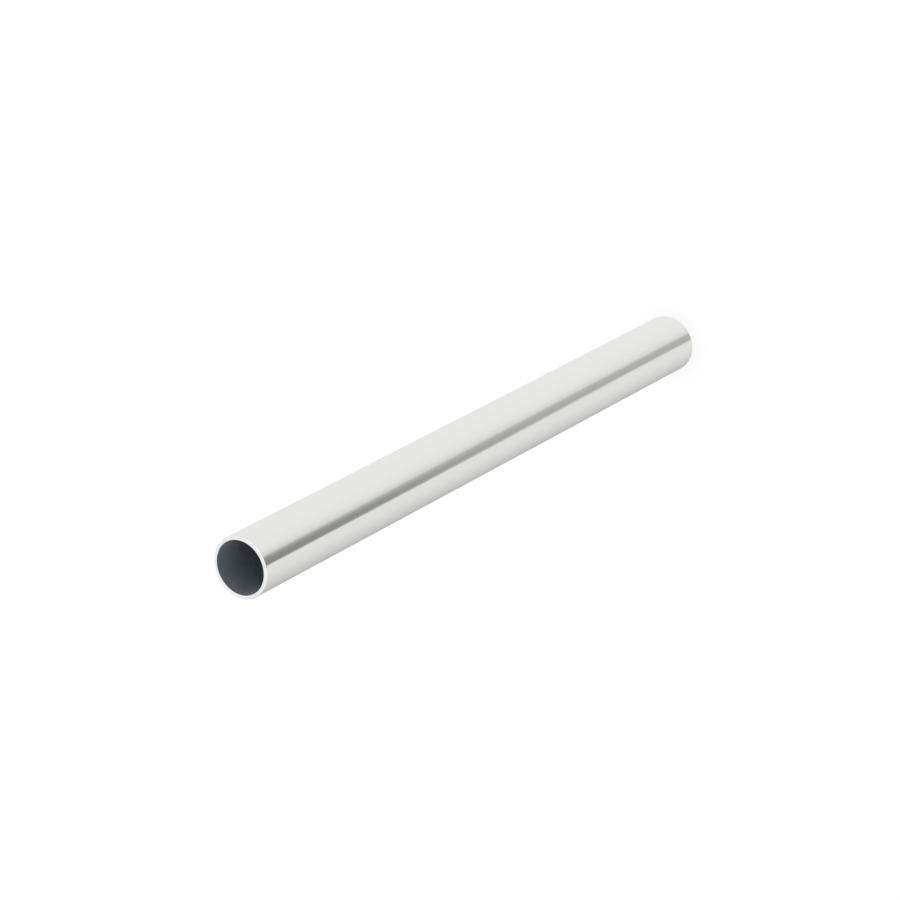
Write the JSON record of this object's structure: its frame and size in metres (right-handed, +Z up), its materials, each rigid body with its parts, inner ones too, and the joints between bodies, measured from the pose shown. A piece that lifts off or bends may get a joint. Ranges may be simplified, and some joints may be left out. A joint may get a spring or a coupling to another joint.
{
  "type": "spacer sleeve",
  "caption": "Plain round thin-walled metal sleeve, open right through, that slips over a bolt or rod and keeps what sits at its ends a set distance apart.",
  "frame": {"origin": "centre of the lower end face, on the sleeve's axis", "axes": "+Z up along the sleeve's axis, from the lower end to the upper; X and Y are any two square directions across it, since the sleeve is round"},
  "size_m": [0.016, 0.016, 0.2],
  "materials": {
    "polished_aluminium": "bright drawn and polished, with turned ends"
  },
  "bodies": {
    "root": {"spacer_sleeve": "polished_aluminium"}
  },
  "joints": []
}
